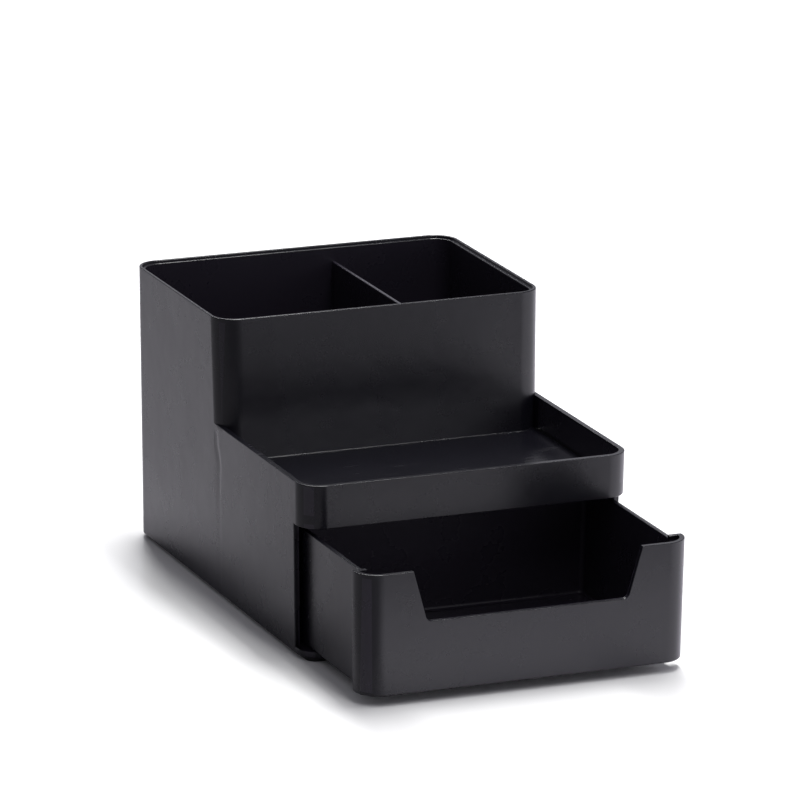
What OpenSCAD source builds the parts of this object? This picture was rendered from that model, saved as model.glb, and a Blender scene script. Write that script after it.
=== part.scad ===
// Desk organizer: a stepped one-piece housing with a divided bin, a front tray and a drawer bay,
// a one-piece drawer that slides out to the front, and four low foot pads.
// X runs to the right, Y to the back, Z up. The origin lies on the desk, in the middle of the
// footprint with the drawer standing out.

/* [Housing] */
// Width across the rim of the bin
body_w = 135; // [110:1:160]
// Depth from the front face to the back
body_d = 183.5; // [165:0.5:220]
// Height of the bin's rim above the underside
bin_h = 109.5; // [90:0.5:140]
// Depth of the bin at its rim
bin_d = 96; // [70:0.5:105]
// Height of the tray's rim above the underside
tray_h = 67.4; // [66.2:0.2:80]
// Depth of the tray below its rim
tray_depth = 13.2; // [8:0.2:14]
// Thickness of the walls round the tray and the drawer bay
wall_t = 2.3; // [1.6:0.1:3]
// Thickness of the base, and of the tray's floor
floor_t = 2.4; // [1.6:0.1:3]
// Outer radius of the upright corners
corner_r = 9.6; // [6:0.2:10.4]
// Inward lean of the side walls towards the base, in degrees
side_draft = 0.9; // [0.3:0.1:1.5]
// Forward lean of the bin's front face towards the tray, in degrees
front_lean = 2.8; // [1:0.1:4]

/* [Bin rim and divider] */
// Thickness of the raised lip round the rim
lip_t = 1.3; // [0.8:0.1:2]
// Width of the ledge inside the lip
ledge_w = 1.3; // [0.8:0.1:2]
// Step down from the lip to the ledge
ledge_drop = 1; // [0.4:0.1:2]
// Thickness of the divider at its top
divider_t = 1.4; // [1:0.1:2.4]
// Added thickness of the divider at the bin's floor
divider_taper = 1; // [0.2:0.1:2]
// Offset of the divider from the middle, towards the right
divider_x = 17; // [-30:1:30]
// Step down from the rim to the divider's top
divider_drop = 6.6; // [2:0.2:20]

/* [Drawer bay] */
// Height of the mouth, from the base to the apron's lower edge
mouth_h = 48.1; // [36:0.1:49]
// Setback of the side walls' front edges behind the front face
cheek_setback = 11; // [10.6:0.2:16]
// Thickness of the wall between the bay and the bin
bay_back_t = 2; // [1.4:0.1:2.6]

/* [Drawer] */
// How far the drawer stands out at rest
drawer_out = 56.6; // [0:0.2:68]
// Thickness of the drawer's walls and floor
drawer_t = 2; // [1.4:0.1:2.8]
// Gap on each side between the drawer's rim and the bay
side_gap = 1.5; // [0.8:0.1:3]
// Gap behind the closed drawer
back_gap = 0.6; // [0.3:0.1:2]
// Gap between the mouth's upper edge and the drawer's front
top_gap = 1.4; // [0.8:0.1:3]
// Gap between the drawer's wrapped front and the side walls' edges
wrap_gap = 0.3; // [0.2:0.1:1]
// Step down from the front's top edge to the drawer's side walls
rim_drop = 1.2; // [0:0.1:3]
// Inward lean of the drawer's side walls towards its floor, in degrees
drawer_draft = 1.2; // [0.5:0.1:2]
// Radius of the drawer's upright back corners
drawer_r = 4; // [3:0.2:7]
// Radius of the cove between the drawer's floor and walls
cove_r = 2.5; // [1:0.1:3.5]

/* [Finger notch] */
// Width of the notch at the top edge
notch_top_w = 91.6; // [84:0.2:94]
// Width of the notch along its lower edge
notch_low_w = 80.6; // [50:0.2:84]
// Depth of the notch
notch_depth = 19.6; // [10:0.2:26]
// Radius of the notch's lower corners
notch_r = 2.5; // [1:0.1:5]

/* [Feet] */
// Height of the foot pads
foot_h = 1.6; // [1:0.1:3]
// Length of a foot pad's sides
foot_w = 12; // [9:0.5:18]
// Corner radius of a foot pad
foot_r = 3.8; // [2:0.1:4.2]
// Distance from the base's outline to a foot pad
foot_inset = 2.2; // [2:0.1:6]

/* [Part] */
// Which part to draw

/* [Hidden] */
$fn = 96;
HOUSING_COLOR = [0.125, 0.125, 0.135];
DRAWER_COLOR = [0.135, 0.135, 0.145];
FOOT_COLOR = [0.06, 0.06, 0.065];

// Overrun of a cut past the face it opens
over = 3;
// Overrun of the bin front's sides, so that the housing's own side walls close it
skim = 0.05;

// Front and back faces of the housing
front_y = -(body_d + drawer_out) / 2;
housing_front_y = front_y + drawer_out;
housing_back_y = housing_front_y + body_d;

// Levels, from the desk
base_z = foot_h;
base_top_z = base_z + floor_t;
mouth_top_z = base_top_z + mouth_h;
tray_rim_z = base_z + tray_h;
tray_floor_z = tray_rim_z - tray_depth;
bay_top_z = tray_floor_z - floor_t;
rim_z = base_z + bin_h;
ledge_z = rim_z - ledge_drop;
divider_z = rim_z - divider_drop;

// Half width of the housing's outside at level z
function outer_half(z) = body_w / 2 - (rim_z - z) * tan(side_draft);

bin_wall_t = lip_t + ledge_w;
bin_front_y = housing_back_y - bin_d;
bin_hollow_y = bin_front_y + bin_wall_t;
bay_back_y = bin_hollow_y - bay_back_t;
cheek_y = housing_front_y + cheek_setback;

// Drawer, closed position first and then moved out
head_top_z = mouth_top_z - top_gap;
box_top_z = head_top_z - rim_drop;
box_half = outer_half(box_top_z) - wall_t - side_gap;
head_half = outer_half(head_top_z) - wrap_gap;
head_r = corner_r - wrap_gap;
head_back_y = cheek_y - wrap_gap;
box_back_y = bay_back_y - back_gap;
drawer_floor_z = base_top_z + drawer_t;
notch_z = head_top_z - notch_depth;

// What rounding by radius r takes off a square corner at the origin, the plate being in +x and +y.
module corner_waste(r) {
    if (r > 0) {
        difference() {
            translate([-over, -over]) square(r + over);
            translate([r, r]) circle(r);
        }
    }
}

// Left half of a plan outline with rounded corners. Its outer edge lies on x = 0.
module half_plan(half_w, y0, y1, r_front, r_back) {
    difference() {
        translate([0, y0]) square([half_w, y1 - y0]);
        translate([0, y0]) corner_waste(r_front);
        translate([0, y1]) mirror([0, 1]) corner_waste(r_back);
    }
}

// Moulded block with upright corners and side walls that lean in going down.
// half_w is its half width at z1; the two halves lean as mirror images and overlap in the middle.
module drafted_block(half_w, y0, y1, z0, z1, r_front, r_back, draft) {
    tall = z1 - z0;
    intersection() {
        union() {
            for (side = [0, 1]) {
                mirror([side, 0, 0])
                    translate([-half_w, 0, z1])
                        rotate([0, -draft, 0])
                            translate([0, 0, -tall - over])
                                linear_extrude(tall + 2 * over)
                                    half_plan(half_w + over, y0, y1, r_front, r_back);
            }
        }
        translate([-half_w - over, y0 - over, z0])
            cube([2 * (half_w + over), y1 - y0 + 2 * over, tall]);
    }
}

// Everything behind the bin's leaning front face and inside its two rounded front corners.
module behind_bin_front() {
    reach = corner_r * 3;
    for (side = [0, 1]) {
        mirror([side, 0, 0])
            translate([-body_w / 2 - skim, bin_front_y, rim_z])
                rotate([-front_lean, 0, 0])
                    rotate([0, -side_draft, 0])
                        translate([0, 0, -bin_h])
                            linear_extrude(bin_h + over)
                                half_plan(body_w / 2 + over, 0, reach, corner_r, 0);
    }
}

// The tray's hollow, with rounded front corners.
module tray_hollow() {
    drafted_block(
        outer_half(tray_rim_z + over) - wall_t,
        housing_front_y + wall_t,
        bin_front_y + corner_r,
        tray_floor_z,
        tray_rim_z + over,
        corner_r - wall_t,
        0,
        side_draft
    );
}

// The open space above and inside the tray, in front of the bin.
module front_space() {
    difference() {
        union() {
            tray_hollow();
            translate([-body_w / 2 - over, housing_front_y - over, tray_rim_z])
                cube([body_w + 2 * over, body_d - bin_d + corner_r + over, bin_h]);
        }
        behind_bin_front();
    }
}

// The bin's hollow below the ledge, and the shallow step that forms the lip.
module bin_hollow() {
    drafted_block(
        outer_half(rim_z) - bin_wall_t,
        bin_hollow_y,
        housing_back_y - bin_wall_t,
        base_top_z,
        rim_z,
        corner_r - bin_wall_t,
        corner_r - bin_wall_t,
        side_draft
    );
    drafted_block(
        outer_half(rim_z + over) - lip_t,
        bin_front_y + lip_t,
        housing_back_y - lip_t,
        ledge_z,
        rim_z + over,
        corner_r - lip_t,
        corner_r - lip_t,
        side_draft
    );
}

// The upright plate between the two compartments, thicker towards the floor.
module divider() {
    foot_half = (divider_t + divider_taper) / 2;
    top_half = divider_t / 2;
    length = housing_back_y - bin_hollow_y - bin_wall_t / 2;
    translate([divider_x, bin_hollow_y + length, 0])
        rotate([90, 0, 0])
            linear_extrude(length + bin_wall_t / 2 - bay_back_t / 4)
                polygon([
                    [-foot_half, base_top_z - floor_t / 2],
                    [foot_half, base_top_z - floor_t / 2],
                    [top_half, divider_z],
                    [-top_half, divider_z]
                ]);
}

// The drawer bay behind the apron, and the wide mouth where the drawer's front wraps the cheeks.
module bay_hollow() {
    drafted_block(
        outer_half(bay_top_z) - wall_t,
        housing_front_y + wall_t,
        bay_back_y,
        base_top_z,
        bay_top_z,
        corner_r - wall_t,
        drawer_r,
        side_draft
    );
    translate([-body_w / 2 - over, housing_front_y - over, base_top_z])
        cube([body_w + 2 * over, cheek_setback + over, mouth_h]);
}

module housing() {
    color(HOUSING_COLOR) {
        difference() {
            drafted_block(
                outer_half(rim_z),
                housing_front_y,
                housing_back_y,
                base_z,
                rim_z,
                corner_r,
                corner_r,
                side_draft
            );
            front_space();
            bin_hollow();
            bay_hollow();
        }
        divider();
    }
}

// The drawer's outside: a narrow box behind a front that is as wide as the housing.
module drawer_outside() {
    drafted_block(
        head_half,
        housing_front_y,
        head_back_y,
        base_top_z,
        head_top_z,
        head_r,
        0,
        side_draft
    );
    drafted_block(
        box_half,
        housing_front_y + head_r,
        box_back_y,
        base_top_z,
        box_top_z,
        0,
        drawer_r,
        drawer_draft
    );
}

// The drawer's inside, one wall thickness within the outside all round.
module drawer_inside() {
    top_z = head_top_z + over;
    drafted_block(
        head_half - drawer_t + (top_z - head_top_z) * tan(side_draft),
        housing_front_y + drawer_t,
        head_back_y - drawer_t,
        drawer_floor_z,
        top_z,
        head_r - drawer_t,
        0,
        side_draft
    );
    drafted_block(
        box_half - drawer_t + (top_z - box_top_z) * tan(drawer_draft),
        housing_front_y + head_r - drawer_t,
        box_back_y - drawer_t,
        drawer_floor_z,
        top_z,
        0,
        drawer_r - drawer_t,
        drawer_draft
    );
}

// The finger notch: a trapezium with two rounded lower corners, cut through the front wall.
module notch() {
    slope = (notch_top_w - notch_low_w) / 2 / notch_depth;
    lean = atan(slope);
    // the corner circle touches the lower edge and the slanted side
    corner_x = notch_low_w / 2 - notch_r * tan(45 - lean / 2);
    corner_z = notch_z + notch_r;
    side_x = corner_x + notch_r * cos(lean);
    side_z = corner_z - notch_r * sin(lean);
    open_z = head_top_z + over;
    open_x = side_x + (open_z - side_z) * slope;
    translate([0, housing_front_y + drawer_t + over, 0])
        rotate([90, 0, 0])
            linear_extrude(drawer_t + 2 * over) {
                polygon([
                    [-corner_x, notch_z],
                    [corner_x, notch_z],
                    [corner_x, corner_z],
                    [side_x, side_z],
                    [open_x, open_z],
                    [-open_x, open_z],
                    [-side_x, side_z],
                    [-corner_x, corner_z]
                ]);
                for (side = [-1, 1]) {
                    translate([side * corner_x, corner_z]) circle(notch_r);
                }
            }
}

// Cove along the foot of a wall that runs in X, with the wall at y = 0 behind it.
module cove(length) {
    difference() {
        translate([-length / 2, -cove_r, -drawer_t / 2])
            cube([length, cove_r + drawer_t / 2, cove_r + drawer_t / 2]);
        translate([-length / 2 - over, -cove_r, cove_r])
            rotate([0, 90, 0])
                cylinder(h = length + 2 * over, r = cove_r);
    }
}

module drawer() {
    cove_back_y = box_back_y - drawer_t;
    cove_w = 2 * (box_half - (box_top_z - base_top_z) * tan(drawer_draft)) - drawer_t;
    color(DRAWER_COLOR)
        translate([0, -drawer_out, 0]) {
            difference() {
                drawer_outside();
                drawer_inside();
                notch();
            }
            intersection() {
                drawer_outside();
                translate([0, cove_back_y, drawer_floor_z]) cove(cove_w);
            }
        }
}

// Four low pads, one under each corner of the base.
module feet() {
    x = outer_half(base_z) - foot_inset - foot_w / 2;
    y_mid = (housing_front_y + housing_back_y) / 2;
    y = body_d / 2 - foot_inset - foot_w / 2;
    color(FOOT_COLOR)
        for (sx = [-1, 1], sy = [-1, 1]) {
            translate([sx * x, y_mid + sy * y, 0]) foot_pad();
        }
}

module foot_pad() {
    straight = foot_w - 2 * foot_r;
    linear_extrude(foot_h) {
        square([foot_w, straight], center = true);
        square([straight, foot_w], center = true);
        for (cx = [-1, 1], cy = [-1, 1]) {
            translate([cx * straight / 2, cy * straight / 2]) circle(foot_r);
        }
    }
}

housing();
drawer();
feet();
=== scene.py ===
"""Desk organizer in satin charcoal plastic, on a white studio table.

The stepped housing, the drawer and the foot pads are rebuilt here from the sizes of the CAD part,
with their moulded roundings and fillets, the sink line on the left wall, and a worn satin finish.
Shapes are drawn in millimetres and scaled to metres when a piece is finished.
"""

from math import asin, atan, cos, degrees, exp, pi, radians, sin, tan

import bmesh
import bpy
from mathutils import Matrix, Vector


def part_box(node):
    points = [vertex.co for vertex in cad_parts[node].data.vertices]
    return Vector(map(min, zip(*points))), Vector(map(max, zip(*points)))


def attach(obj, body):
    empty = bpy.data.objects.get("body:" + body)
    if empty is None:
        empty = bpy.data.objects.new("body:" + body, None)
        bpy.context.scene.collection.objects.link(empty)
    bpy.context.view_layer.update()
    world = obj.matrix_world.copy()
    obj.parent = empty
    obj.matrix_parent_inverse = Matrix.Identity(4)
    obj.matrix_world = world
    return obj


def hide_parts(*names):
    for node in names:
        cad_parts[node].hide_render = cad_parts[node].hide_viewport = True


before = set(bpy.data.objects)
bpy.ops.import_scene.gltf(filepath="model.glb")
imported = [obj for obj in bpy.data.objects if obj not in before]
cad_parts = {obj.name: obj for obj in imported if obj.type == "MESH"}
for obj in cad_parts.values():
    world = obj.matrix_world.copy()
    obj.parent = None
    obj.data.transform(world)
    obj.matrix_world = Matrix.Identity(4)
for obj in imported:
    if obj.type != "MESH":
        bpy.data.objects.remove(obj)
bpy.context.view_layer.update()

MM = 0.001

# ---------------------------------------------------------------- sizes of the part, in mm

# Steps in a rounded corner's quarter turn, and how far a cutter runs past what it cuts
ARC_STEPS = 16
OVER = 3.0

housing_low, housing_high = (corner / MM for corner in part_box("housing"))
drawer_low, drawer_high = (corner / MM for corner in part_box("drawer"))

# The housing: levels, depths and walls
RIM_Z = housing_high.z
BASE_Z = housing_low.z
FRONT_Y = housing_low.y
BACK_Y = housing_high.y
HALF_W = housing_high.x

SIDE_DRAFT = tan(radians(0.9))
FRONT_LEAN = tan(radians(2.8))
CORNER_R = 9.6
WALL_T = 2.3
FLOOR_T = 2.4
LIP_T = 1.3
BIN_WALL_T = 2.6
LEDGE_Z = RIM_Z - 1.0
BIN_FRONT_Y = BACK_Y - 96.0
BIN_HOLLOW_Y = BIN_FRONT_Y + BIN_WALL_T
BAY_BACK_Y = BIN_HOLLOW_Y - 2.0
BASE_TOP_Z = BASE_Z + FLOOR_T
MOUTH_TOP_Z = BASE_TOP_Z + 48.1
TRAY_RIM_Z = BASE_Z + 67.4
TRAY_FLOOR_Z = TRAY_RIM_Z - 13.2
BAY_TOP_Z = TRAY_FLOOR_Z - FLOOR_T
CHEEK_Y = FRONT_Y + 11.0
DIVIDER_X = 17.0
DIVIDER_Z = RIM_Z - 6.6
DIVIDER_TOP_T = 1.4
DIVIDER_FOOT_T = 2.4

# The drawer: its head is the front that wraps round, its box is what slides in the bay
DRAWER_T = 2.0
DRAWER_DRAFT = tan(radians(1.2))
DRAWER_R = 4.0
SIDE_GAP = 1.5
WRAP_GAP = 0.3
HEAD_FRONT_Y = drawer_low.y
HEAD_BACK_Y = HEAD_FRONT_Y + 10.7
HEAD_R = CORNER_R - WRAP_GAP
HEAD_TOP_Z = drawer_high.z
BOX_BACK_Y = drawer_high.y
BOX_TOP_Z = HEAD_TOP_Z - 1.2
DRAWER_FLOOR_Z = drawer_low.z + DRAWER_T
NOTCH_DEPTH = 19.6
NOTCH_TOP_W = 91.6
NOTCH_LOW_W = 80.6
NOTCH_R = 2.5
NOTCH_ARC_STEPS = 8

# The foot pads
FOOT_W = 12.0
FOOT_R = 3.8
FOOT_INSET = 2.2
FOOT_SOFT_R = 0.35
FOOT_SOFT_STEPS = 4

# Radii of the moulded roundings and fillets
EDGE_R = 0.4
TRAY_RIM_R = 0.28
LEDGE_R = 0.35
BASE_EDGE_R = 0.5
TRAY_FILLET_R = 0.35
BIN_FLOOR_FILLET_R = 1.0
HEAD_EDGE_R = 0.25
HEAD_FOOT_R = 0.7
BOX_FOOT_R = 1.5
DRAWER_FILLET_R = 0.8
DRAWER_BACK_FILLET_R = 1.5
LARGEST_R = 4.0
ROUNDING_STEPS = 3
SHARP = radians(30)

# How far a point may lie from a level or a face and still count as on it
NEAR = 0.05
TOUCH = 0.01

# Points closer than this are joined, and faces flatter than this are merged
JOIN_DISTANCE = 0.002
FLAT_ANGLE = radians(0.2)


def outer_half(z):
    """Half width of the housing's outside at level z."""
    return HALF_W - (RIM_Z - z) * SIDE_DRAFT


HEAD_HALF = outer_half(HEAD_TOP_Z) - WRAP_GAP
BOX_HALF = outer_half(BOX_TOP_Z) - WALL_T - SIDE_GAP


def bin_face_y(z):
    """The bin's outer front face at level z; it leans forward going down."""
    return BIN_FRONT_Y - (RIM_Z - z) * FRONT_LEAN


# ---------------------------------------------------------------- solid blocks and cuts


def outline(half_w, y0, y1, r_front, r_back, z):
    """Plan outline with rounded corners at level z, anticlockwise seen from above."""
    corners = [
        (half_w - r_front, y0 + r_front, r_front, -90, 90),
        (half_w - r_back, y1 - r_back, r_back, 0, 90),
        (r_back - half_w, y1 - r_back, r_back, 90, 90),
        (r_front - half_w, y0 + r_front, r_front, 180, 90),
    ]
    if y0 + r_front > y1:
        # the block ends before its front corners have turned all the way
        sweep = 90 - degrees(asin((y0 + r_front - y1) / r_front))
        corners = [
            (half_w - r_front, y0 + r_front, r_front, -90, sweep),
            (r_front - half_w, y0 + r_front, r_front, 270 - sweep, sweep),
        ]
    points = []
    for cx, cy, r, start, sweep in corners:
        steps = ARC_STEPS if r > 0 else 0
        for i in range(steps + 1):
            turn = radians(start + sweep * i / max(steps, 1))
            points.append(Vector((cx + r * cos(turn), cy + r * sin(turn), z)))
    return points


def as_object(name, bm):
    """Puts a finished mesh into the scene as an object."""
    mesh = bpy.data.meshes.new(name)
    bm.to_mesh(mesh)
    bm.free()
    obj = bpy.data.objects.new(name, mesh)
    bpy.context.scene.collection.objects.link(obj)
    return obj


def loft(rings):
    """Closed mesh through rings of equal length, one after the other."""
    bm = bmesh.new()
    rows = [[bm.verts.new(p) for p in ring] for ring in rings]
    count = len(rows[0])
    for low, high in zip(rows, rows[1:]):
        for i in range(count):
            j = (i + 1) % count
            bm.faces.new((low[i], low[j], high[j], high[i]))
    bm.faces.new(list(reversed(rows[0])))
    bm.faces.new(rows[-1])
    bmesh.ops.recalc_face_normals(bm, faces=bm.faces)
    return as_object("block", bm)


def moulded_block(half_w, y0, y1, z0, z1, r_front, r_back, draft):
    """Block whose side walls lean in going down; half_w is its half width at z1."""
    low_half = half_w - (z1 - z0) * draft
    return loft(
        [
            outline(low_half, y0, y1, r_front, r_back, z0),
            outline(half_w, y0, y1, r_front, r_back, z1),
        ]
    )


def plain_block(half_w, y0, y1, z0, z1):
    """Block with upright walls and sharp corners."""
    return moulded_block(half_w, y0, y1, z0, z1, 0, 0, 0)


def inner_space(wall, y0, y1, z0, z1, r_back):
    """Space between the housing's side walls, where they are as thick as wall."""
    return moulded_block(outer_half(z1) - wall, y0, y1, z0, z1, CORNER_R - wall, r_back, SIDE_DRAFT)


def upright_plate(points, y0, y1):
    """Plate with the outline points (x, z) that runs in Y from y0 to y1."""
    return loft([[Vector((x, y, z)) for x, z in points] for y in (y1, y0)])


def settle(obj):
    """Makes the modifiers' result the object's own mesh."""
    graph = bpy.context.evaluated_depsgraph_get()
    mesh = bpy.data.meshes.new_from_object(obj.evaluated_get(graph))
    obj.modifiers.clear()
    obj.data = mesh


def combine(obj, other, operation):
    """Cuts other from obj or joins it to obj, and removes other."""
    tool = obj.modifiers.new("tool", "BOOLEAN")
    tool.operation = operation
    tool.solver = "EXACT"
    tool.object = other
    settle(obj)
    bpy.data.objects.remove(other)


def tidy_faces(obj):
    """Joins doubled points and merges the flat pieces that the cuts left."""
    bm = bmesh.new()
    bm.from_mesh(obj.data)
    bmesh.ops.remove_doubles(bm, verts=bm.verts, dist=JOIN_DISTANCE)
    bmesh.ops.dissolve_limit(bm, angle_limit=FLAT_ANGLE, verts=bm.verts, edges=bm.edges)
    bm.to_mesh(obj.data)
    bm.free()


def round_edges(obj, radius_at):
    """Rounds the sharp edges; radius_at(middle, run, convex) gives each edge's radius in mm."""
    bm = bmesh.new()
    bm.from_mesh(obj.data)
    weight = bm.edges.layers.float.new("bevel_weight_edge")
    for edge in bm.edges:
        if len(edge.link_faces) != 2 or edge.calc_face_angle() < SHARP:
            continue
        a, b = (v.co for v in edge.verts)
        radius = radius_at((a + b) / 2, b - a, edge.is_convex)
        edge[weight] = radius / LARGEST_R
    bm.to_mesh(obj.data)
    bm.free()
    rounding = obj.modifiers.new("rounding", "BEVEL")
    rounding.limit_method = "WEIGHT"
    rounding.offset_type = "OFFSET"
    rounding.width = LARGEST_R
    rounding.segments = ROUNDING_STEPS
    rounding.use_clamp_overlap = False
    settle(obj)


# ---------------------------------------------------------------- housing


def behind_bin_front():
    """The space behind the bin's leaning front and inside its two rounded front corners."""
    # a little past the outer walls, so that no thin skin is left
    past_wall = 0.02
    return loft(
        [
            outline(outer_half(z) + past_wall, bin_face_y(z), BACK_Y + OVER, CORNER_R, 0, z)
            for z in (TRAY_FLOOR_Z - 2 * OVER, RIM_Z + 2 * OVER)
        ]
    )


def front_space():
    """The open space in the tray and above it, in front of the bin."""
    past_corner_y = BIN_FRONT_Y + CORNER_R
    space = inner_space(WALL_T, FRONT_Y + WALL_T, past_corner_y, TRAY_FLOOR_Z, TRAY_RIM_Z + OVER, 0)
    # the upper block ends 1 mm further back, so that the two share no end face
    above_end_y = past_corner_y + 1
    above = plain_block(HALF_W + OVER, FRONT_Y - OVER, above_end_y, TRAY_RIM_Z, RIM_Z + OVER)
    combine(space, above, "UNION")
    combine(space, behind_bin_front(), "DIFFERENCE")
    return space


def make_housing():
    """One moulding: the bin with its stepped rim and divider, the tray, the bay and the base."""
    over_z = RIM_Z + OVER
    body = moulded_block(
        outer_half(RIM_Z), FRONT_Y, BACK_Y, BASE_Z, RIM_Z, CORNER_R, CORNER_R, SIDE_DRAFT
    )
    combine(body, front_space(), "DIFFERENCE")
    bin_back_y = BACK_Y - BIN_WALL_T
    bin_r = CORNER_R - BIN_WALL_T
    bin_hollow = inner_space(BIN_WALL_T, BIN_HOLLOW_Y, bin_back_y, BASE_TOP_Z, over_z, bin_r)
    combine(body, bin_hollow, "DIFFERENCE")
    rim_r = CORNER_R - LIP_T
    rim_step = inner_space(LIP_T, BIN_FRONT_Y + LIP_T, BACK_Y - LIP_T, LEDGE_Z, over_z, rim_r)
    combine(body, rim_step, "DIFFERENCE")
    bay = inner_space(WALL_T, FRONT_Y + WALL_T, BAY_BACK_Y, BASE_TOP_Z, BAY_TOP_Z, DRAWER_R)
    combine(body, bay, "DIFFERENCE")
    mouth = plain_block(HALF_W + OVER, FRONT_Y - OVER, CHEEK_Y, BASE_TOP_Z, MOUTH_TOP_Z)
    combine(body, mouth, "DIFFERENCE")
    # the divider reaches into the walls and the base, so that they join
    seat = 0.5
    foot_z = BASE_TOP_Z - 2 * seat
    divider = upright_plate(
        [
            (DIVIDER_X - DIVIDER_FOOT_T / 2, foot_z),
            (DIVIDER_X + DIVIDER_FOOT_T / 2, foot_z),
            (DIVIDER_X + DIVIDER_TOP_T / 2, DIVIDER_Z),
            (DIVIDER_X - DIVIDER_TOP_T / 2, DIVIDER_Z),
        ],
        BIN_HOLLOW_Y - seat,
        bin_back_y + seat,
    )
    combine(body, divider, "UNION")
    return body


def split_run(obj, on_run, places):
    """Adds points at the given Y places to the straight edge that on_run picks on each side."""
    bm = bmesh.new()
    bm.from_mesh(obj.data)
    for side in (-1, 1):
        for y in places:
            for edge in bm.edges:
                a, b = (v.co for v in edge.verts)
                if on_run(a, b, side) and min(a.y, b.y) < y - NEAR and max(a.y, b.y) > y + NEAR:
                    start = edge.verts[0]
                    bmesh.utils.edge_split(edge, start, (y - a.y) / (b.y - a.y))
                    break
    bm.to_mesh(obj.data)
    bm.free()


# Where the tray's rim runs out against the bin's rounded corner, its rounding fades away:
# each step is how far before the rim's end it starts, and its radius
RIM_END_Y = bin_face_y(TRAY_RIM_Z) + CORNER_R
FADE = ((1.6, 0.0), (2.4, 0.08), (3.2, 0.16), (4.2, 0.24))


def on_tray_rim(a, b, side):
    """Whether the edge a to b lies along the outer top edge of the tray's side wall."""
    return all(
        abs(p.z - TRAY_RIM_Z) < TOUCH and abs(p.x * side - outer_half(p.z)) < NEAR
        for p in (a, b)
    )


def housing_rounding(middle, run, convex):
    """Radius in mm for each sharp edge of the housing."""
    x, y, z = abs(middle.x), middle.y, middle.z
    level = abs(run.z) < TOUCH
    if not convex:
        if level and abs(z - TRAY_FLOOR_Z) < NEAR:
            return TRAY_FILLET_R
        if level and abs(z - BASE_TOP_Z) < NEAR and y > BIN_HOLLOW_Y - NEAR:
            return BIN_FLOOR_FILLET_R
        return 0
    if level and abs(z - BASE_Z) < NEAR:
        return BASE_EDGE_R
    if abs(z - TRAY_RIM_Z) < NEAR:
        if x > HALF_W - WALL_T:
            for reach, radius in FADE:
                if y > RIM_END_Y - reach:
                    return radius
        return TRAY_RIM_R
    if abs(z - LEDGE_Z) < NEAR or abs(z - DIVIDER_Z) < NEAR:
        return LEDGE_R
    return EDGE_R


# ---------------------------------------------------------------- drawer


def finger_notch():
    """Cutter for the notch: a trapezium with two rounded lower corners."""
    lean = atan((NOTCH_TOP_W - NOTCH_LOW_W) / 2 / NOTCH_DEPTH)
    low_z = HEAD_TOP_Z - NOTCH_DEPTH
    centre_x = NOTCH_LOW_W / 2 - NOTCH_R * tan(pi / 4 - lean / 2)
    centre_z = low_z + NOTCH_R
    right = []
    for i in range(NOTCH_ARC_STEPS + 1):
        turn = (pi / 2 - lean) * i / NOTCH_ARC_STEPS
        right.append((centre_x + NOTCH_R * sin(turn), centre_z - NOTCH_R * cos(turn)))
    rise = HEAD_TOP_Z + OVER - right[-1][1]
    right.append((right[-1][0] + rise * tan(lean), HEAD_TOP_Z + OVER))
    left = [(-x, z) for x, z in reversed(right)]
    return upright_plate(left + right, HEAD_FRONT_Y - OVER, HEAD_FRONT_Y + DRAWER_T + OVER)


def make_drawer():
    """One moulding: a box with drafted walls, and a front that wraps round its sides."""
    low_z = drawer_low.z
    top_z = HEAD_TOP_Z + OVER
    shoulder_y = HEAD_FRONT_Y + HEAD_R
    head = moulded_block(
        HEAD_HALF, HEAD_FRONT_Y, HEAD_BACK_Y, low_z, HEAD_TOP_Z, HEAD_R, 0, SIDE_DRAFT
    )
    box = moulded_block(
        BOX_HALF, shoulder_y, BOX_BACK_Y, low_z, BOX_TOP_Z, 0, DRAWER_R, DRAWER_DRAFT
    )
    combine(head, box, "UNION")
    head_hollow = moulded_block(
        HEAD_HALF - DRAWER_T + (top_z - HEAD_TOP_Z) * SIDE_DRAFT,
        HEAD_FRONT_Y + DRAWER_T,
        HEAD_BACK_Y - DRAWER_T,
        DRAWER_FLOOR_Z,
        top_z,
        HEAD_R - DRAWER_T,
        0,
        SIDE_DRAFT,
    )
    box_hollow = moulded_block(
        BOX_HALF - DRAWER_T + (top_z - BOX_TOP_Z) * DRAWER_DRAFT,
        shoulder_y - DRAWER_T,
        BOX_BACK_Y - DRAWER_T,
        DRAWER_FLOOR_Z,
        top_z,
        0,
        DRAWER_R - DRAWER_T,
        DRAWER_DRAFT,
    )
    combine(head, head_hollow, "DIFFERENCE")
    combine(head, box_hollow, "DIFFERENCE")
    combine(head, finger_notch(), "DIFFERENCE")
    return head


def drawer_rounding(middle, run, convex):
    """Radius in mm for each sharp edge of the drawer."""
    x, y, z = abs(middle.x), middle.y, middle.z
    level = abs(run.z) < TOUCH
    if not convex:
        if level and abs(z - DRAWER_FLOOR_Z) < NEAR:
            return DRAWER_BACK_FILLET_R if y > BOX_BACK_Y - DRAWER_R - NEAR else DRAWER_FILLET_R
        return 0
    if not level and abs(y - HEAD_BACK_Y + DRAWER_T) < NEAR and x < BOX_HALF:
        return 0
    if level and abs(z - drawer_low.z) < NEAR:
        return BOX_FOOT_R if y > HEAD_BACK_Y + NEAR else HEAD_FOOT_R
    if z > HEAD_TOP_Z - NOTCH_DEPTH - NEAR and y < HEAD_BACK_Y:
        return HEAD_EDGE_R
    return EDGE_R


# ---------------------------------------------------------------- sink line on the left wall

# Sizes in mm. The net of cuts round the line: its middle, half its width and its steps
SINK_Y = 26.2
SINK_REACH = 4.8
SINK_STEP = 0.4
SINK_RISE = 1.4
# The line's lower and upper end, and how far they fade
SINK_LOW_Z = 3.2
SINK_HIGH_Z = 67.6
SINK_END = 3.0
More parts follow.
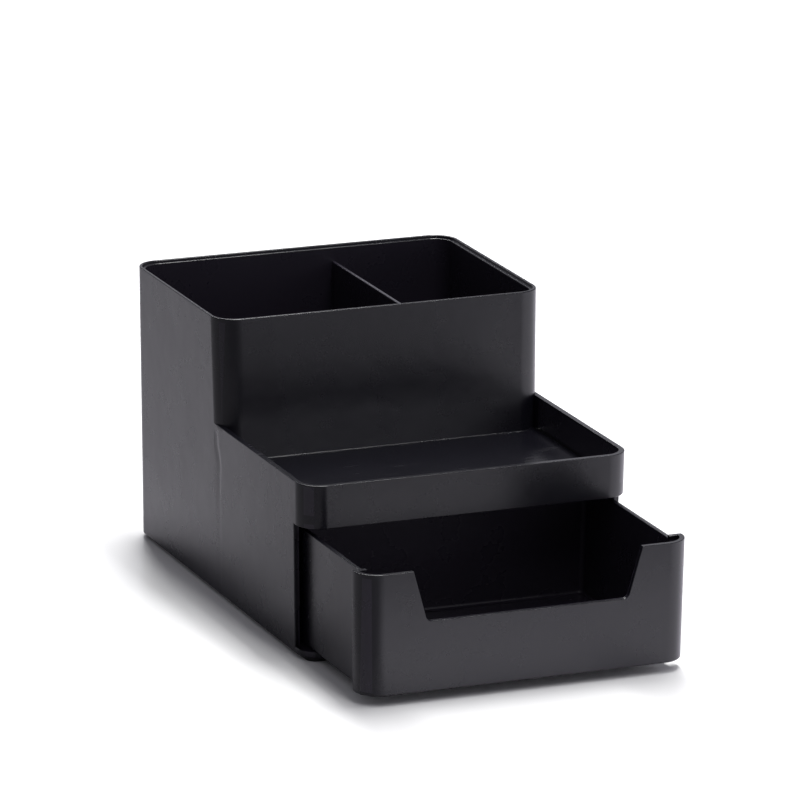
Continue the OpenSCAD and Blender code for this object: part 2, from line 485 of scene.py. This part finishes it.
# Its run: a straight, a bend to the back with its level and rise, and a kink to the front
SINK_STRAIGHT_Y = 25.7
SINK_BEND = 2.2
SINK_BEND_Z = 56.0
SINK_BEND_RISE = 6.0
SINK_KINK = 0.8
SINK_KINK_Z = 52.5
SINK_KINK_RISE = 2.5
# Its steep front flank and slow back flank, and its depth, which grows going up
SINK_FRONT_W = 1.3
SINK_BACK_W = 3.0
SINK_LOW_DEPTH = 0.05
SINK_HIGH_DEPTH = 0.15
SINK_DEEPENS_Z = 28.0
SINK_DEEPENS_RISE = 30.0
# A cut closer to a point than this goes through it
SCORE_DISTANCE = 0.0005
# A face looks left where its direction's x is below this
LOOKS_LEFT = -0.99


def ease(t):
    """0 below 0, 1 above 1, and a smooth rise between them."""
    t = min(1.0, max(0.0, t))
    return t * t * (3 - 2 * t)


def sink_centre(z):
    """Where the sink line runs at level z: straight below, with a slow bend near the tray."""
    bend = SINK_BEND * ease((z - SINK_BEND_Z) / SINK_BEND_RISE)
    kink = SINK_KINK * exp(-(((z - SINK_KINK_Z) / SINK_KINK_RISE) ** 2))
    return SINK_STRAIGHT_Y + bend - kink


def sink_depth(y, z):
    """How deep the wall has sunk at a point of the left wall, in mm: steep towards the front."""
    across = y - sink_centre(z)
    width = SINK_FRONT_W if across < 0 else SINK_BACK_W
    deepening = ease((z - SINK_DEEPENS_Z) / SINK_DEEPENS_RISE)
    depth = SINK_LOW_DEPTH + (SINK_HIGH_DEPTH - SINK_LOW_DEPTH) * deepening
    ends = ease((z - SINK_LOW_Z) / SINK_END) * ease((SINK_HIGH_Z - z) / SINK_END)
    return depth * ends * exp(-((across / width) ** 2))


def on_left_wall(face):
    """Whether a face is part of the housing's flat left wall."""
    outside = face.calc_center_median().x < WALL_T - outer_half(0)
    return outside and face.normal.x < LOOKS_LEFT


def score(bm, faces, point, normal):
    """Cuts the given faces along a plane, and leaves the shape as it is."""
    parts = set(faces)
    for face in faces:
        parts.update(face.edges)
        parts.update(face.verts)
    bmesh.ops.bisect_plane(
        bm, geom=list(parts), dist=SCORE_DISTANCE, plane_co=point, plane_no=normal
    )


def sink_left_wall(obj):
    """Cuts a fine net into the left wall round the sink line and presses the line in."""
    bm = bmesh.new()
    bm.from_mesh(obj.data)
    columns = round(SINK_REACH / SINK_STEP)
    for column in range(-columns, columns + 1):
        wall = [f for f in bm.faces if on_left_wall(f)]
        score(bm, wall, (0, SINK_Y + column * SINK_STEP, 0), (0, 1, 0))
    z = SINK_LOW_Z
    while z < SINK_HIGH_Z:
        band = [
            f
            for f in bm.faces
            if on_left_wall(f) and abs(f.calc_center_median().y - SINK_Y) < SINK_REACH
        ]
        score(bm, band, (0, 0, z), (0, 0, 1))
        z += SINK_RISE
    for vert in bm.verts:
        x, y, z = vert.co
        on_wall = abs(x + outer_half(z)) < TOUCH
        if on_wall and abs(y - SINK_Y) < SINK_REACH and SINK_LOW_Z < z < SINK_HIGH_Z:
            vert.co.x += sink_depth(y, z)
    bm.to_mesh(obj.data)
    bm.free()


# ---------------------------------------------------------------- foot pads


def make_foot_pads():
    """Four low pads with rounded corners and a softened lower edge."""
    half = FOOT_W / 2
    middle_y = (FRONT_Y + BACK_Y) / 2
    x = outer_half(BASE_Z) - FOOT_INSET - half
    y = (BACK_Y - FRONT_Y) / 2 - FOOT_INSET - half
    pads = bmesh.new()
    for side in (-1, 1):
        for end in (-1, 1):
            rings = []
            for i in range(FOOT_SOFT_STEPS + 1):
                turn = radians(90 * i / FOOT_SOFT_STEPS)
                inset = FOOT_SOFT_R * (1 - sin(turn))
                z = FOOT_SOFT_R * (1 - cos(turn))
                rings.append(outline(half - inset, inset - half, half - inset, FOOT_R, FOOT_R, z))
            rings.append([Vector((p.x, p.y, BASE_Z)) for p in rings[-1]])
            pad = loft(rings)
            pad.data.transform(Matrix.Translation((side * x, middle_y + end * y, 0)))
            pads.from_mesh(pad.data)
            bpy.data.objects.remove(pad)
    return as_object("foot_pads", pads)


# ---------------------------------------------------------------- shader expressions


class Wire:
    """A socket that takes part in sums: each operator adds its Math node."""

    def __init__(self, finish, socket):
        self.finish = finish
        self.socket = socket

    def _math(self, operation, *terms):
        return self.finish.node("ShaderNodeMath", {"operation": operation}, dict(enumerate(terms)))

    def __add__(self, other):
        return self._math("ADD", self, other)

    __radd__ = __add__

    def __sub__(self, other):
        return self._math("SUBTRACT", self, other)

    def __rsub__(self, other):
        return self._math("SUBTRACT", other, self)

    def __mul__(self, other):
        return self._math("MULTIPLY", self, other)

    __rmul__ = __mul__

    def at_most(self, other):
        """The smaller of the two."""
        return self._math("MINIMUM", self, other)

    def at_least(self, other):
        """The larger of the two."""
        return self._math("MAXIMUM", self, other)

    def below(self, limit):
        """1 where the value is below the limit, 0 elsewhere."""
        return self._math("LESS_THAN", self, limit)

    def above(self, limit):
        """1 where the value is above the limit, 0 elsewhere."""
        return self._math("GREATER_THAN", self, limit)

    def between(self, low, high):
        """1 where the value is above low and below high, 0 elsewhere."""
        return self.above(low) * self.below(high)

    def size(self):
        """The value without its sign."""
        return self._math("ABSOLUTE", self)

    def output(self, out):
        """Another output of the node that this socket belongs to."""
        return Wire(self.finish, self.socket.node.outputs[out])


class Finish:
    """A node tree that is written as Python expressions."""

    def __init__(self, owner):
        owner.use_nodes = True
        self.owner = owner
        self.tree = owner.node_tree
        self.tree.nodes.clear()

    def node(self, kind, settings=None, inputs=None, out=0):
        """Adds a node: its settings first, then its sockets' values or links."""
        made = self.tree.nodes.new(kind)
        for name, value in (settings or {}).items():
            setattr(made, name, value)
        for key, value in (inputs or {}).items():
            socket = made.inputs[key]
            if isinstance(value, Wire):
                self.tree.links.new(value.socket, socket)
            else:
                socket.default_value = value
        return Wire(self, made.outputs[out]) if made.outputs else None

    def smooth(self, value, low, high):
        """0 at low, 1 at high, and a smooth change between them."""
        return self.node(
            "ShaderNodeMapRange",
            {"interpolation_type": "SMOOTHSTEP"},
            {"Value": value, "From Min": low, "From Max": high},
        )

    def tone(self, value, level, low, high):
        """A tone that grows from 0 at low to its level at high."""
        return level * self.smooth(value, low, high)

    def blend(self, share, a, b):
        """Colour a where share is 0 and colour b where it is 1."""
        # the Mix node has sockets for each kind of value, and these numbers are the colours'
        return self.node(
            "ShaderNodeMix", {"data_type": "RGBA"}, {"Factor": share, 6: a, 7: b}, out=2
        )

    def noise(self, place, scale, detail=2.0, roughness=0.5):
        """A cloudy value round 0.5, with scale repeats per metre."""
        return self.node(
            "ShaderNodeTexNoise",
            inputs={"Vector": place, "Scale": scale, "Detail": detail, "Roughness": roughness},
        )

    def bump(self, height, strength, distance, base=None):
        """A surface direction that follows the height, on top of the base direction."""
        inputs = {"Strength": strength, "Distance": distance, "Height": height}
        if base:
            inputs["Normal"] = base
        return self.node("ShaderNodeBump", inputs=inputs)

    def parts(self, vector):
        """The x, y and z of a vector."""
        x = self.node("ShaderNodeSeparateXYZ", inputs={"Vector": vector})
        return x, x.output("Y"), x.output("Z")

    def own_place(self):
        """The place on the piece itself, in metres."""
        return self.node("ShaderNodeTexCoord", out="Object")

    def facing(self):
        """The x, y and z of the direction that the surface faces."""
        return self.parts(self.node("ShaderNodeNewGeometry", out="Normal"))

    def show(self, shader, kind="ShaderNodeOutputMaterial"):
        """Makes the shader the tree's surface."""
        self.node(kind, inputs={"Surface": shader})


# ---------------------------------------------------------------- finishes

# Colours are linear
BLACK = (0, 0, 0, 1)
WHITE = (1, 1, 1, 1)
CHARCOAL = (0.0054, 0.0051, 0.0086)
DARK_SHADE = 0.8
PALE_SHADE = 1.25
# Painted fill light: the lighter, bluish colour laid on the inner walls in place of light that
# doesn't reach them
PAINTED_FILL_COLOUR = (0.026, 0.022, 0.033, 1)
SCUFF_COLOUR = (0.06, 0.06, 0.064, 1)
DUST_COLOUR = (0.20, 0.19, 0.18, 1)
RUBBER_DARK = (0.006, 0.006, 0.006, 1)
RUBBER_PALE = (0.014, 0.014, 0.014, 1)
PLASTIC_IOR = 1.54
# Flow marks in the plastic: clouds and smaller patches, in repeats per metre, and how much they
# lift its tone. The band runs from the dark shade to the pale one
CLOUD_SCALE = 14
PATCH_SCALE = 60
TONE_START = 0.82
TONE_CLOUDS = 0.26
TONE_PATCHES = 0.12
TONE_BAND = (0.85, 1.25)
# Roughness: of the plain plastic and the rubber, and what each mark adds to it
BODY_ROUGHNESS = 0.22
CLOUD_ROUGHNESS = 0.06
PATCH_ROUGHNESS = 0.05
UPWARD_ROUGHNESS = -0.03
SCUFF_ROUGHNESS = 0.08
DUST_ROUGHNESS = 0.3
RUBBER_ROUGHNESS = 0.62
MOTTLE_ROUGHNESS = 0.15
MOTTLE_SCALE = 300
# Relief: its pattern in repeats per metre, its height in metres, and how much of it shows
WAVE_SCALE = 26
WAVE_HEIGHT = 0.0007
WAVE_STRENGTH = 0.5
GRAIN_SCALE = 1800
GRAIN_HEIGHT = 0.00002
GRAIN_STRENGTH = 0.35
PORE_SCALE = 2500
PORE_HEIGHT = 0.00005
PORE_STRENGTH = 0.4
# Dust: cells per metre, the specks' least size and spread in cells, the share of cells with one,
# what facing up adds to that share, and how much of the colour shows
DUST_SCALE = 90
DUST_SIZE = 0.014
DUST_SIZE_SPREAD = 0.018
DUST_CHANCE = 0.10
DUST_CHANCE_UPWARD = 0.2
DUST_SHARE = 0.8
# Scuffs: the strokes' pattern and turn, their groups, and how much of the colour shows
SCUFF_STRETCH = (30, 300, 30)
SCUFF_TURN = (0, 0, 0.1)
SCUFF_BAND = (0.56, 0.70)
SCUFF_GROUP_SCALE = 35
SCUFF_GROUP_BAND = (0.5, 0.62)
SCUFF_SHARE = 0.14
# How far the direction's z has to rise before a face counts as facing up
FACES_UP_BAND = (0.6, 0.95)
# Painted fill light, a lighter colour on the inner walls in place of light that doesn't reach them:
# its strength and what the clouds add, its share inside the bin, and in mm where it ends in the
# tray before the bin
PAINTED_FILL_START = 0.55
PAINTED_FILL_CLOUDS = 0.6
BIN_PAINTED_FILL = 0.65
TRAY_PAINTED_FILL_END_Y = 20.5
# How deep in a wall it starts, in mm: in the housing, the drawer's front and the drawer's box
PAINTED_FILL_SKIN = 1.5
HEAD_PAINTED_FILL_SKIN = 1.6
BOX_PAINTED_FILL_SKIN = 1.2
# How far it keeps from an edge or runs past one, in mm: in general, then at three places
PAINTED_FILL_EDGE = 0.5
BIN_PAINTED_FILL_EDGE = 0.4
TRAY_PAINTED_FILL_EDGE = 0.6
BOX_PAINTED_FILL_EDGE = 0.3
# The bin front's warp: its upper end in mm, how fast it curves, the places in metres it covers,
# and the direction's y below which a face looks to the front
WARP_TOP_Z = 79.0
WARP_CURVE = 3.3
WARP_BAND = (0.0, 0.03)
LOOKS_FORWARD = -0.6


def shade(colour, factor):
    """The colour made lighter or darker by a factor."""
    return tuple(channel * factor for channel in colour) + (1,)


def dust_specks(f, place, upward):
    """Sparse pale specks, more of them on what faces up."""
    cells = f.node("ShaderNodeTexVoronoi", inputs={"Vector": place, "Scale": DUST_SCALE})
    chance = f.node("ShaderNodeSeparateColor", inputs={"Color": cells.output("Color")})
    in_speck = cells.below(chance.output("Green") * DUST_SIZE_SPREAD + DUST_SIZE)
    return in_speck * chance.below(DUST_CHANCE + DUST_CHANCE_UPWARD * upward)


def scuff_strokes(f, place, upward):
    """Short thin strokes in loose groups, on what faces up."""
    stretched = f.node(
        "ShaderNodeMapping",
        inputs={"Vector": place, "Rotation": SCUFF_TURN, "Scale": SCUFF_STRETCH},
    )
    strokes = f.smooth(f.noise(stretched, 1.0), *SCUFF_BAND)
    groups = f.smooth(f.noise(place, SCUFF_GROUP_SCALE), *SCUFF_GROUP_BAND)
    return strokes * groups * upward


def moulded_plastic(name, seed, hollow, warp=None):
    """Satin charcoal plastic: fine grain, slight flow marks, dust and scuffs on what faces up.

    hollow(x, y, z) tells where the inner walls are, which carry painted fill light, a lighter
    colour in place of light that doesn't reach them;
    warp(finish) may give the height of a large shallow warp, in metres.
    """
    f = Finish(bpy.data.materials.new(name))
    place = f.own_place()
    shifted = f.node(
        "ShaderNodeVectorMath", {"operation": "ADD"}, {0: place, 1: (seed, seed * 2, 0)}
    )
    upward = f.smooth(f.facing()[2], *FACES_UP_BAND)
    clouds = f.noise(shifted, CLOUD_SCALE, detail=3)
    patches = f.noise(shifted, PATCH_SCALE, detail=4, roughness=0.6)
    speck = dust_specks(f, shifted, upward)
    scuff = scuff_strokes(f, shifted, upward)

    tone = TONE_START + TONE_CLOUDS * clouds + TONE_PATCHES * patches
    dark = shade(CHARCOAL, DARK_SHADE)
    pale = shade(CHARCOAL, PALE_SHADE)
    body_colour = f.blend(f.smooth(tone, *TONE_BAND), dark, pale)
    # painted fill light: the inner walls are made lighter where the lamps' light doesn't reach into
    # them
    painted_fill = hollow(*f.parts(place)) * (PAINTED_FILL_START + PAINTED_FILL_CLOUDS * clouds)
    with_painted_fill = f.blend(painted_fill, body_colour, PAINTED_FILL_COLOUR)
    scuffed = f.blend(scuff * SCUFF_SHARE, with_painted_fill, SCUFF_COLOUR)
    colour = f.blend(speck * DUST_SHARE, scuffed, DUST_COLOUR)

    roughness = BODY_ROUGHNESS + CLOUD_ROUGHNESS * clouds + PATCH_ROUGHNESS * patches
    roughness = roughness + UPWARD_ROUGHNESS * upward
    roughness = roughness + SCUFF_ROUGHNESS * scuff + DUST_ROUGHNESS * speck

    waves = f.noise(shifted, WAVE_SCALE, detail=3, roughness=0.55)
    surface = f.bump(waves, WAVE_STRENGTH, WAVE_HEIGHT)
    if warp:
        surface = f.bump(warp(f), 1, 1, surface)
    grain = f.noise(shifted, GRAIN_SCALE)
    surface = f.bump(grain, GRAIN_STRENGTH, GRAIN_HEIGHT, surface)
    shader = f.node(
        "ShaderNodeBsdfPrincipled",
        inputs={
            "Base Color": colour,
            "Roughness": roughness,
            "IOR": PLASTIC_IOR,
            "Normal": surface,
        },
    )
    f.show(shader)
    return f.owner


def housing_hollow(x, y, z):
    """Where the inner walls get painted fill light: 1 on the walls inside the drawer bay and the
    tray, less inside the bin, 0 elsewhere.
    """
    depth = outer_half(0) * MM + z * SIDE_DRAFT - x.size()
    front = (FRONT_Y + PAINTED_FILL_SKIN) * MM
    in_bin = y.between((BIN_HOLLOW_Y - BIN_PAINTED_FILL_EDGE) * MM, (BACK_Y - PAINTED_FILL_SKIN) * MM)
    in_bin = in_bin * z.below((LEDGE_Z - PAINTED_FILL_EDGE) * MM)
    in_bay = y.between(front, BIN_HOLLOW_Y * MM) * z.below((BAY_TOP_Z + PAINTED_FILL_EDGE) * MM)
    tray_low = (TRAY_FLOOR_Z + PAINTED_FILL_SKIN) * MM
    tray_high = (TRAY_RIM_Z - TRAY_PAINTED_FILL_EDGE) * MM
    in_tray = y.between(front, TRAY_PAINTED_FILL_END_Y * MM) * z.between(tray_low, tray_high)
    inside = (BIN_PAINTED_FILL * in_bin).at_least(in_bay).at_least(in_tray)
    return depth.above(PAINTED_FILL_SKIN * MM) * inside


def drawer_hollow(x, y, z):
    """Where the drawer's inner faces get painted fill light: 1 on the inner faces of the drawer, 0
    elsewhere.
    """
    in_head = y.below(HEAD_BACK_Y * MM) * x.size().below((HEAD_HALF - HEAD_PAINTED_FILL_SKIN) * MM)
    in_box = y.above(HEAD_BACK_Y * MM) * x.size().below((BOX_HALF - BOX_PAINTED_FILL_SKIN) * MM)
    in_depth = y.between((HEAD_FRONT_Y + PAINTED_FILL_SKIN) * MM, (BOX_BACK_Y - PAINTED_FILL_SKIN) * MM)
    in_height = z.between((DRAWER_FLOOR_Z - PAINTED_FILL_EDGE) * MM, (BOX_TOP_Z - BOX_PAINTED_FILL_EDGE) * MM)
    return in_head.at_least(in_box) * in_depth * in_height


def bin_foot_warp(f):
    """The bin's front face bellies out a little just above the tray floor."""
    _, y, z = f.parts(f.own_place())
    forward = f.facing()[1]
    on_face = forward.below(LOOKS_FORWARD) * y.between(*WARP_BAND)
    drop = (WARP_TOP_Z * MM - z).at_least(0)
    return on_face * drop * drop * WARP_CURVE


def pad_rubber():
    """Matt dark rubber with a fine grain."""
    f = Finish(bpy.data.materials.new("foot_rubber"))
    place = f.own_place()
    mottle = f.noise(place, MOTTLE_SCALE, detail=3)
    pores = f.noise(place, PORE_SCALE)
    shader = f.node(
        "ShaderNodeBsdfPrincipled",
        inputs={
            "Base Color": f.blend(mottle, RUBBER_DARK, RUBBER_PALE),
            "Roughness": RUBBER_ROUGHNESS + MOTTLE_ROUGHNESS * mottle,
            "Normal": f.bump(pores, PORE_STRENGTH, PORE_HEIGHT),
        },
    )
    f.show(shader)
    return f.owner


# ---------------------------------------------------------------- pieces

# Edges sharper than the angle stay crisp, and so do those of faces smaller than the area, in m2
CORNER_ANGLE = radians(40)
SLIVER_AREA = 0.005 * MM * MM


def keep_corners(obj):
    """Marks the edges that no rounding softens, and the last slivers of a fading rounding."""
    bm = bmesh.new()
    bm.from_mesh(obj.data)
    for edge in bm.edges:
        corner = edge.calc_face_angle(0) > CORNER_ANGLE
        sliver = min(face.calc_area() for face in edge.link_faces) < SLIVER_AREA
        edge.smooth = not (corner or sliver)
    bm.to_mesh(obj.data)
    bm.free()


def finish_piece(obj, name, material, body, node):
    """Scales a piece to metres, smooths it, gives it its material and puts it in the frame."""
    obj.name = name
    obj.data.name = name
    obj.data.transform(Matrix.Scale(MM, 4))
    obj.data.materials.clear()
    obj.data.materials.append(material)
    for polygon in obj.data.polygons:
        polygon.use_smooth = True
    keep_corners(obj)
    even = obj.modifiers.new("even_shading", "WEIGHTED_NORMAL")
    even.weight = 100
    even.keep_sharp = True
    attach(obj, body)
    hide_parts(node)


housing = make_housing()
tidy_faces(housing)
split_run(housing, on_tray_rim, [RIM_END_Y - reach for reach, _ in FADE])
round_edges(housing, housing_rounding)
sink_left_wall(housing)

drawer = make_drawer()
tidy_faces(drawer)
round_edges(drawer, drawer_rounding)

finish_piece(
    housing,
    "stepped_housing",
    moulded_plastic("housing_plastic", seed=0.0, hollow=housing_hollow, warp=bin_foot_warp),
    "stand",
    "housing",
)
finish_piece(
    drawer,
    "slide_out_drawer",
    moulded_plastic("drawer_plastic", seed=1.7, hollow=drawer_hollow),
    "slider",
    "drawer",
)
finish_piece(make_foot_pads(), "foot_pads", pad_rubber(), "stand", "feet")


# ---------------------------------------------------------------- studio table

# What the gloss mirrors of the table. A band holds the places, in metres, where a change starts
# and where it is full; a tone is a level and then its band. A slant is how much x or y counts.
FRONT_LEVEL = 0.07
FRONT_TONE = (0.17, -0.45, -0.34)
MIDDLE_TONE = (0.05, -0.15, 0.0)
NEAR_BAND = (-0.31, -0.22)
LULL_BAND = (-0.61, -0.50)
LULL_END_BAND = (0.15, 0.27)
RIGHT_LEVEL = 0.82
RIGHT_SLANT = 0.9
RIGHT_SLANT_BAND = (-0.315, -0.075)
RIGHT_BAND = (-0.09, -0.03)
RIGHT_END_TONE = (0.28, 0.2, 0.45)
BEHIND_SLANT = 2.5
BEHIND_FAINT_TONE = (0.08, -0.37, -0.29)
BEHIND_TONE = (0.165, -0.29, -0.12)
BESIDE_TONE = (0.12, -0.11, -0.085)
BESIDE_BAND = (-0.03, 0.02)
BESIDE_END_X = -0.06

# The table: half its side, where it turns from shadowed to plain white, and its finish
TABLE_REACH = 6.0
FAR_BAND = (0.35, 0.9)
FAR_SHADE = 0.8
TABLE_COLOUR = (0.9, 0.9, 0.9, 1)
TABLE_MIRRORED_COLOUR = (0.895, 0.872, 0.94, 1)
TABLE_SHEEN = (0.15, 0.15, 0.15, 1)
TABLE_SHEEN_ROUGHNESS = 0.2
ROOM_TINT = (0.965, 0.955, 1.045, 1)


def mirrored_table(f, x, y):
    """How bright the table is in the gloss: bright near the drawer and right, soft behind."""
    front = FRONT_LEVEL + f.tone(y, *FRONT_TONE) + f.tone(x, *MIDDLE_TONE)
    near = f.smooth(y, *NEAR_BAND)
    lull = f.smooth(y, *LULL_BAND) * (1 - near) * (1 - f.smooth(x, *LULL_END_BAND))
    slanted = f.smooth(x + RIGHT_SLANT * y.at_most(0), *RIGHT_SLANT_BAND)
    right = slanted.at_least(near) * f.smooth(x, *RIGHT_BAND)
    diagonal = y + BEHIND_SLANT * x
    behind = f.tone(diagonal, *BEHIND_FAINT_TONE) + f.tone(diagonal, *BEHIND_TONE)
    broad = (RIGHT_LEVEL * right * (1 - lull)).at_least(behind)
    beside = f.tone(x, *BESIDE_TONE) * f.smooth(y, *BESIDE_BAND) * x.below(BESIDE_END_X)
    return front + broad - f.tone(x, *RIGHT_END_TONE) * near + beside


def table_white():
    """White to the camera. Near the part it holds the shadow; further out it glows plain white."""
    f = Finish(bpy.data.materials.new("white_table"))
    place = f.node("ShaderNodeNewGeometry", out="Position")
    x, y, _ = f.parts(place)
    away = f.node("ShaderNodeVectorMath", {"operation": "LENGTH"}, {0: place}, out="Value")
    camera_ray = f.node("ShaderNodeLightPath", out="Is Camera Ray")
    glossy_ray = camera_ray.output("Is Glossy Ray")
    far = f.smooth(away, *FAR_BAND)
    seen = camera_ray + (1 - camera_ray) * mirrored_table(f, x, y)
    tint = f.blend(camera_ray, TABLE_MIRRORED_COLOUR, TABLE_COLOUR)
    matt = f.node(
        "ShaderNodeBsdfDiffuse",
        inputs={"Color": f.blend(seen * (1 - FAR_SHADE * far), BLACK, tint)},
    )
    sheen = f.node(
        "ShaderNodeBsdfGlossy",
        inputs={
            "Color": f.blend(camera_ray, BLACK, TABLE_SHEEN),
            "Roughness": TABLE_SHEEN_ROUGHNESS,
        },
    )
    glow = far * (camera_ray + glossy_ray).at_most(1) * seen
    bright = f.blend(camera_ray, ROOM_TINT, WHITE)
    light = f.node(
        "ShaderNodeEmission", inputs={"Color": f.blend(glow, BLACK, bright), "Strength": 1}
    )
    both = f.node("ShaderNodeAddShader", inputs={0: matt, 1: light})
    f.show(f.node("ShaderNodeAddShader", inputs={0: both, 1: sheen}))
    return f.owner


def studio_table():
    """A wide flat table under the part."""
    bm = bmesh.new()
    corners = ((-1, -1), (1, -1), (1, 1), (-1, 1))
    bm.faces.new([bm.verts.new((x * TABLE_REACH, y * TABLE_REACH, 0)) for x, y in corners])
    table = as_object("table", bm)
    table.data.materials.append(table_white())


# ---------------------------------------------------------------- studio lights

# What the gloss mirrors of the room: bands of the direction's own parts, and levels of light
ROOM_LEVEL = 0.09
BACKDROP_LEVEL = 0.4
BACKDROP_BAND = (0.45, 0.8)
BACKDROP_TOP_BAND = (0.35, 0.6)
WINDOW_LEVEL = 1.6
WINDOW_TOWARDS = (0.9, 0.8)
WINDOW_BAND = (0.55, 0.95)
WINDOW_TOP_BAND = (0.2, 0.42)
CEILING_TONE = (0.25, 0.35, 0.7)
CEILING_FRONT_BAND = (0.3, -0.4)


def softbox(name, place, size, power):
    """A lit panel that hangs level at the given place and shines down."""
    lamp = bpy.data.lights.new(name, "AREA")
    lamp.shape = "RECTANGLE"
    lamp.size, lamp.size_y = size
    lamp.energy = power
    obj = bpy.data.objects.new(name, lamp)
    obj.location = place
    bpy.context.scene.collection.objects.link(obj)


def studio_world():
    """White to the camera; for the part, a low backdrop, windows, a ceiling and a dim room."""
    world = bpy.data.worlds.new("studio")
    bpy.context.scene.world = world
    f = Finish(world)
    x, y, z = f.parts(f.node("ShaderNodeTexCoord", out="Generated"))
    camera_ray = f.node("ShaderNodeLightPath", out="Is Camera Ray")
    backdrop = f.smooth(y, *BACKDROP_BAND) * (1 - f.smooth(z, *BACKDROP_TOP_BAND))
    right_and_front = x * WINDOW_TOWARDS[0] - y * WINDOW_TOWARDS[1]
    windows = f.smooth(right_and_front, *WINDOW_BAND) * (1 - f.smooth(z, *WINDOW_TOP_BAND))
    ceiling = f.tone(z, *CEILING_TONE) * f.smooth(y, *CEILING_FRONT_BAND)
    room = ROOM_LEVEL + (BACKDROP_LEVEL * backdrop).at_least(WINDOW_LEVEL * windows) + ceiling
    seen = camera_ray + (1 - camera_ray) * room
    bright = f.blend(camera_ray, ROOM_TINT, WHITE)
    shader = f.node(
        "ShaderNodeBackground", inputs={"Color": f.blend(seen, BLACK, bright), "Strength": 1}
    )
    f.show(shader, "ShaderNodeOutputWorld")


studio_table()
studio_world()
softbox("overhead_softbox", place=(0.30, 0.85, 1.5), size=(0.30, 2.3), power=40)
softbox("front_softbox", place=(0.09, -0.3, 1.5), size=(0.22, 2.5), power=11)


# ---------------------------------------------------------------- camera

# The place and the angles that the photograph was taken from, and the lens and sensor in mm
CAMERA_AT = Vector((-0.93437, -2.25246, 0.76671))
CAMERA_AZIMUTH = radians(-22.4768)
CAMERA_ELEVATION = radians(15.7335)
CAMERA_ROLL = radians(0.5874)
CAMERA_LENS = 297.913
SENSOR_WIDTH = 36.0


def add_camera():
    """The camera at the photograph's angle, with its slight roll."""
    camera = bpy.data.cameras.new("camera")
    camera.sensor_width = SENSOR_WIDTH
    camera.lens = CAMERA_LENS
    a, e, r = CAMERA_AZIMUTH, CAMERA_ELEVATION, CAMERA_ROLL
    back = Vector((sin(a) * cos(e), -cos(a) * cos(e), sin(e)))
    right = Vector((cos(a), sin(a), 0))
    up = back.cross(right)
    turned = Matrix((cos(r) * right + sin(r) * up, cos(r) * up - sin(r) * right, back))
    obj = bpy.data.objects.new("camera", camera)
    obj.matrix_world = Matrix.Translation(CAMERA_AT) @ turned.transposed().to_4x4()
    bpy.context.scene.collection.objects.link(obj)
    bpy.context.scene.camera = obj


add_camera()
bpy.context.scene.view_settings.view_transform = "Standard"
